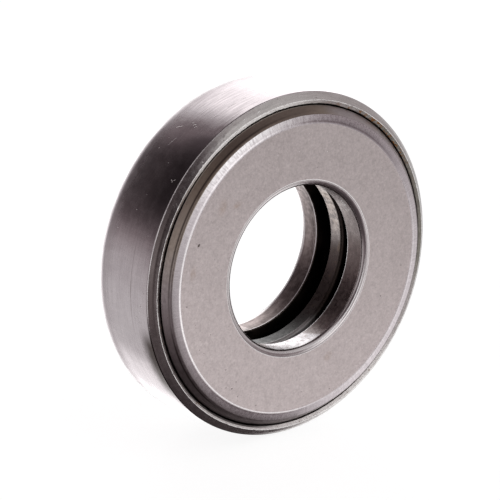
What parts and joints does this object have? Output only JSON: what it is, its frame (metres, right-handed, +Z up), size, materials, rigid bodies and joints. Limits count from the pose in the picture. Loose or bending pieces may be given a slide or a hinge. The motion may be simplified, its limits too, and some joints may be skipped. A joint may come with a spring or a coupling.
{
  "type": "thrust ball bearing",
  "caption": "Banded thrust ball bearing: grooved steel washers with caged balls between them, held together by a pressed steel band.",
  "frame": {"origin": "centre of the whole bearing, on its axis", "axes": "+Y along the bearing's axis from the shaft washer's face to the housing washer's seat, +Z up with the bearing standing on its rim"},
  "size_m": [0.0532, 0.0158, 0.0532],
  "materials": {
    "band_steel": "pressed sheet, lightly polished and scratched",
    "washer_steel": "ground, matt on the faces and smooth in the bore",
    "cage_steel": "pressed sheet, satin",
    "ball_steel": "polished"
  },
  "bodies": {
    "housing": {"shell_band": "band_steel", "housing_washer": "washer_steel"},
    "shaft": {"shaft_washer": "washer_steel"},
    "cage": {"ball_cage": "cage_steel"},
    "ball_01": {"ball_01": "ball_steel"},
    "ball_02": {"ball_02": "ball_steel"},
    "ball_03": {"ball_03": "ball_steel"},
    "ball_04": {"ball_04": "ball_steel"},
    "ball_05": {"ball_05": "ball_steel"},
    "ball_06": {"ball_06": "ball_steel"},
    "ball_07": {"ball_07": "ball_steel"},
    "ball_08": {"ball_08": "ball_steel"},
    "ball_09": {"ball_09": "ball_steel"},
    "ball_10": {"ball_10": "ball_steel"},
    "ball_11": {"ball_11": "ball_steel"}
  },
  "joints": [
    {"name": "shaft_washer_spin", "type": "hinge", "parent": "housing", "child": "shaft", "pos_m": [0, 0, 0], "axis": [0, 1, 0], "continuous": true},
    {"name": "cage_spin", "type": "hinge", "parent": "housing", "child": "cage", "pos_m": [0, 0, 0], "axis": [0, 1, 0], "continuous": true},
    {"name": "ball_01_spin", "type": "hinge", "parent": "cage", "child": "ball_01", "pos_m": [0, -0.00019, 0.019], "axis": [0, 0, 1], "continuous": true},
    {"name": "ball_02_spin", "type": "hinge", "parent": "cage", "child": "ball_02", "pos_m": [0.01027, -0.00019, 0.01598], "axis": [0.5406, 0, 0.8413], "continuous": true},
    {"name": "ball_03_spin", "type": "hinge", "parent": "cage", "child": "ball_03", "pos_m": [0.01728, -0.00019, 0.00789], "axis": [0.9096, 0, 0.4154], "continuous": true},
    {"name": "ball_04_spin", "type": "hinge", "parent": "cage", "child": "ball_04", "pos_m": [0.01881, -0.00019, -0.0027], "axis": [0.9898, 0, -0.1423], "continuous": true},
    {"name": "ball_05_spin", "type": "hinge", "parent": "cage", "child": "ball_05", "pos_m": [0.01436, -0.00019, -0.01244], "axis": [0.7557, 0, -0.6549], "continuous": true},
    {"name": "ball_06_spin", "type": "hinge", "parent": "cage", "child": "ball_06", "pos_m": [0.00535, -0.00019, -0.01823], "axis": [0.2817, 0, -0.9595], "continuous": true},
    {"name": "ball_07_spin", "type": "hinge", "parent": "cage", "child": "ball_07", "pos_m": [-0.00535, -0.00019, -0.01823], "axis": [-0.2817, 0, -0.9595], "continuous": true},
    {"name": "ball_08_spin", "type": "hinge", "parent": "cage", "child": "ball_08", "pos_m": [-0.01436, -0.00019, -0.01244], "axis": [-0.7557, 0, -0.6549], "continuous": true},
    {"name": "ball_09_spin", "type": "hinge", "parent": "cage", "child": "ball_09", "pos_m": [-0.01881, -0.00019, -0.0027], "axis": [-0.9898, 0, -0.1423], "continuous": true},
    {"name": "ball_10_spin", "type": "hinge", "parent": "cage", "child": "ball_10", "pos_m": [-0.01728, -0.00019, 0.00789], "axis": [-0.9096, 0, 0.4154], "continuous": true},
    {"name": "ball_11_spin", "type": "hinge", "parent": "cage", "child": "ball_11", "pos_m": [-0.01027, -0.00019, 0.01598], "axis": [-0.5406, 0, 0.8413], "continuous": true}
  ],
  "couplings": [
    {"joint": "cage_spin", "follows": "shaft_washer_spin", "ratio": 0.5},
    {"joint": "ball_01_spin", "follows": "shaft_washer_spin", "ratio": 1.9948},
    {"joint": "ball_02_spin", "follows": "shaft_washer_spin", "ratio": 1.9948},
    {"joint": "ball_03_spin", "follows": "shaft_washer_spin", "ratio": 1.9948},
    {"joint": "ball_04_spin", "follows": "shaft_washer_spin", "ratio": 1.9948},
    {"joint": "ball_05_spin", "follows": "shaft_washer_spin", "ratio": 1.9948},
    {"joint": "ball_06_spin", "follows": "shaft_washer_spin", "ratio": 1.9948},
    {"joint": "ball_07_spin", "follows": "shaft_washer_spin", "ratio": 1.9948},
    {"joint": "ball_08_spin", "follows": "shaft_washer_spin", "ratio": 1.9948},
    {"joint": "ball_09_spin", "follows": "shaft_washer_spin", "ratio": 1.9948},
    {"joint": "ball_10_spin", "follows": "shaft_washer_spin", "ratio": 1.9948},
    {"joint": "ball_11_spin", "follows": "shaft_washer_spin", "ratio": 1.9948}
  ]
}
